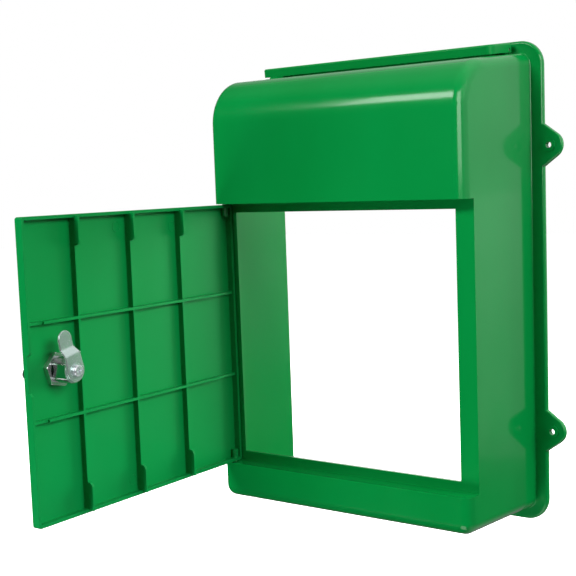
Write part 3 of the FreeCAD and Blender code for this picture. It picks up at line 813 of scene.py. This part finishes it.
@dataclass
class Key(SubAssembly):
    """The key left in the lock."""

    blade_edge: float = 0.15 * MM
    bow_edge: float = 0.8 * MM
    bow_segments: int = 4

    def build(self) -> None:
        """Make the blade and its moulded bow."""
        self.soften("key_blade", "key_metal", self.blade_edge, self.finishes.key_metal, Body.KEY, "key_steel")
        self.soften("key_bow", "key_head", self.bow_edge, self.finishes.key_plastic, Body.KEY, "key_black",
                    self.bow_segments)


# Studio


@dataclass(frozen=True)
class SoftBox:
    """A rectangular studio light."""

    name: str
    place: tuple[float, float, float]
    aim: tuple[float, float, float]
    size: tuple[float, float]
    watts: float
    role: Role = Role.FILL

    def make(self) -> None:
        """Hang the light and point it: a fill only lights, a sheen is only mirrored in glossy surfaces."""
        light = bpy.data.lights.new(self.name, "AREA")
        light.shape = "RECTANGLE"
        light.size, light.size_y = self.size
        light.energy = self.watts
        lamp = bpy.data.objects.new(self.name, light)
        lamp.location = self.place
        lamp.rotation_euler = (Vector(self.aim) - Vector(self.place)).to_track_quat("-Z", "Y").to_euler()
        lamp.visible_glossy = self.role is Role.SHEEN
        lamp.visible_diffuse = self.role is Role.FILL
        bpy.context.scene.collection.objects.link(lamp)


@dataclass(frozen=True)
class Fade:
    """A smooth change of brightness along one measure of direction."""

    start: float
    end: float
    first: float
    last: float


@dataclass
class Sky(Nodes):
    """The surroundings' node tree: pale behind the object, and darker to the front and the ground."""

    sideways: float = 0.6
    behind: Fade = Fade(-0.25, 0.75, 0.02, 0.77)
    above: Fade = Fade(-0.22, 0.10, 0.08, 1.0)
    under: Fade = Fade(-0.75, -0.35, 0.8, 0.0)
    zenith: Fade = Fade(0.65, 0.98, 0.0, 0.35)

    def fade(self, value: bpy.types.NodeSocket, fade: Fade) -> bpy.types.NodeSocket:
        """Map a value by a fade.

        Args:
            value: Socket with the measure of direction.
            fade: Where it starts and ends, and the brightness there.

        Returns:
            The brightness's socket.
        """
        node = self.add("ShaderNodeMapRange")
        node.interpolation_type = "SMOOTHSTEP"
        limits = {"From Min": fade.start, "From Max": fade.end, "To Min": fade.first, "To Max": fade.last}
        for socket, limit in limits.items():
            node.inputs[socket].default_value = limit
        self.link(value, node.inputs["Value"])
        return node.outputs["Result"]

    def combine(self, first: bpy.types.NodeSocket, second: bpy.types.NodeSocket | float,
                kind: str) -> bpy.types.NodeSocket:
        """Join two values by arithmetic.

        Args:
            first: Socket with the first value.
            second: Socket with the second value, or a fixed number.
            kind: The operation, such as ADD or MULTIPLY.

        Returns:
            The result's socket.
        """
        node = self.add("ShaderNodeMath")
        node.operation = kind
        self.link(first, node.inputs[0])
        if isinstance(second, float):
            node.inputs[1].default_value = second
        else:
            self.link(second, node.inputs[1])
        return node.outputs["Value"]

    def brightness(self) -> bpy.types.NodeSocket:
        """Work out how bright the surroundings are in each direction.

        Returns:
            The brightness's socket.
        """
        split = self.add("ShaderNodeSeparateXYZ")
        self.link(self.add("ShaderNodeTexCoord").outputs["Generated"], split.inputs["Vector"])
        x, y, z = (split.outputs[name] for name in "XYZ")
        behind = self.fade(self.combine(self.combine(x, self.sideways, "MULTIPLY"), y, "ADD"), self.behind)
        upright = self.combine(self.fade(z, self.above), self.fade(z, self.under), "ADD")
        return self.combine(self.combine(behind, upright, "MULTIPLY"), self.fade(z, self.zenith), "ADD")

    def build(self) -> None:
        """Light the object by the surroundings, and show them plain white to the camera."""
        self.tree.nodes.clear()
        ambient, backdrop = (self.add("ShaderNodeBackground") for _ in range(2))
        mix, out = self.add("ShaderNodeMixShader"), self.add("ShaderNodeOutputWorld")
        self.link(self.brightness(), ambient.inputs["Strength"])
        backdrop.inputs["Strength"].default_value = 1.0
        backdrop.inputs["Color"].default_value = (1, 1, 1, 1)
        self.link(self.add("ShaderNodeLightPath").outputs["Is Camera Ray"], mix.inputs["Fac"])
        self.link(ambient.outputs["Background"], mix.inputs[1])
        self.link(backdrop.outputs["Background"], mix.inputs[2])
        self.link(mix.outputs["Shader"], out.inputs["Surface"])


@dataclass
class Studio:
    """Floor, surroundings and soft boxes."""

    floor_drop: float = 0.16
    floor_size: float = 14.0
    lights: tuple[SoftBox, ...] = (
        SoftBox("key", (-0.50, -1.84, 1.29), (0.0, -0.1, 0.05), (1.15, 0.42), 42.0),
        SoftBox("side", (1.95, -0.15, 1.05), (0.1, -0.15, 0.0), (1.3, 0.8), 38.0),
        SoftBox("low_fill", (-0.45, -1.35, -1.00), (0.0, -0.1, -0.1), (0.9, 0.5), 15.0),
        SoftBox("back", (0.30, 1.15, 0.10), (-0.1, 0.0, 0.0), (0.5, 0.8), 24.0),
        SoftBox("far_side", (-1.90, 0.45, 0.75), (-0.1, -0.1, 0.0), (1.2, 0.9), 36.0),
        SoftBox("streak", (-0.84, -1.84, 1.24), (0.05, -0.1, 0.12), (1.0, 0.46), 11.0, Role.SHEEN),
        SoftBox("corner_card", (1.50, -1.40, 0.68), (0.12, -0.1, 0.12), (1.2, 1.2), 20.0, Role.SHEEN),
        SoftBox("low_card", (0.25, -1.00, -1.15), (-0.1, -0.3, -0.05), (0.9, 0.8), 4.5, Role.SHEEN),
        SoftBox("inner_card", (2.00, 2.50, -0.42), (-0.12, -0.05, -0.05), (0.42, 0.9), 0.45, Role.SHEEN),
        SoftBox("rim_card", (-0.95, 1.80, 0.22), (0.0, -0.1, 0.0), (1.3, 0.8), 5.0, Role.SHEEN),
    )

    def build(self) -> None:
        """Set up the floor, the lights and the pale surroundings."""
        bpy.context.scene.view_settings.view_transform = "Standard"
        self.floor()
        world = bpy.data.worlds.new("studio")
        bpy.context.scene.world = world
        world.use_nodes = True
        Sky(world.node_tree).build()
        for light in self.lights:
            light.make()

    def floor(self) -> None:
        """Lay the pale floor below the object."""
        low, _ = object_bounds()
        half = self.floor_size / 2
        level = low[2] - self.floor_drop
        corners = [(x * half, y * half, level) for x, y in ((-1, -1), (1, -1), (1, 1), (-1, 1))]
        mesh = bpy.data.meshes.new("studio_floor")
        mesh.from_pydata(corners, [], [(0, 1, 2, 3)])
        mesh.materials.append(StudioFloor().make())
        floor = bpy.data.objects.new("studio_floor", mesh)
        bpy.context.scene.collection.objects.link(floor)
        floor.visible_glossy = False
        floor.visible_diffuse = False
        floor.visible_shadow = False
        floor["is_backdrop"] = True


@dataclass
class ViewCamera:
    """The main view, from the front right and a little above."""

    place: tuple[float, float, float] = (0.5775, -0.8827, 0.0942)
    heading: float = 38.44
    dip: float = 6.25
    roll: float = 2.07
    lens: float = 75.0
    shift: tuple[float, float] = (-0.0066, 0.0427)

    def build(self) -> None:
        """Create the camera and make it the scene's."""
        heading, dip, roll = (math.radians(angle) for angle in (self.heading, self.dip, self.roll))
        level_share = math.cos(dip)
        ahead = Vector((-math.sin(heading) * level_share, math.cos(heading) * level_share, -math.sin(dip)))
        level = ahead.cross(UP).normalized()
        above = level.cross(ahead)
        right = level * math.cos(roll) - above * math.sin(roll)
        up = level * math.sin(roll) + above * math.cos(roll)
        data = bpy.data.cameras.new("main_view")
        data.lens = self.lens
        data.shift_x, data.shift_y = self.shift
        camera = bpy.data.objects.new("main_view", data)
        turn = Matrix((right, up, -ahead)).transposed().to_4x4()
        turn.translation = Vector(self.place)
        camera.matrix_world = turn
        bpy.context.scene.collection.objects.link(camera)
        bpy.context.scene.camera = camera


def main(frame: dict) -> None:
    """Build the object, the studio and the camera.
    """
    logging.basicConfig(level=logging.INFO, format="%(name)s: %(message)s")
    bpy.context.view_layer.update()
    finishes = FinishSet.build()
    for kind in (Shell, HingedDoor, Lid, CamLock, Key):
        part = kind(frame, finishes)
        part.build()
        LOG.info("%s made %s", kind.__name__, ", ".join(part.made))
    Studio().build()
    ViewCamera().build()


if __name__ == "__main__":
    main(frame)
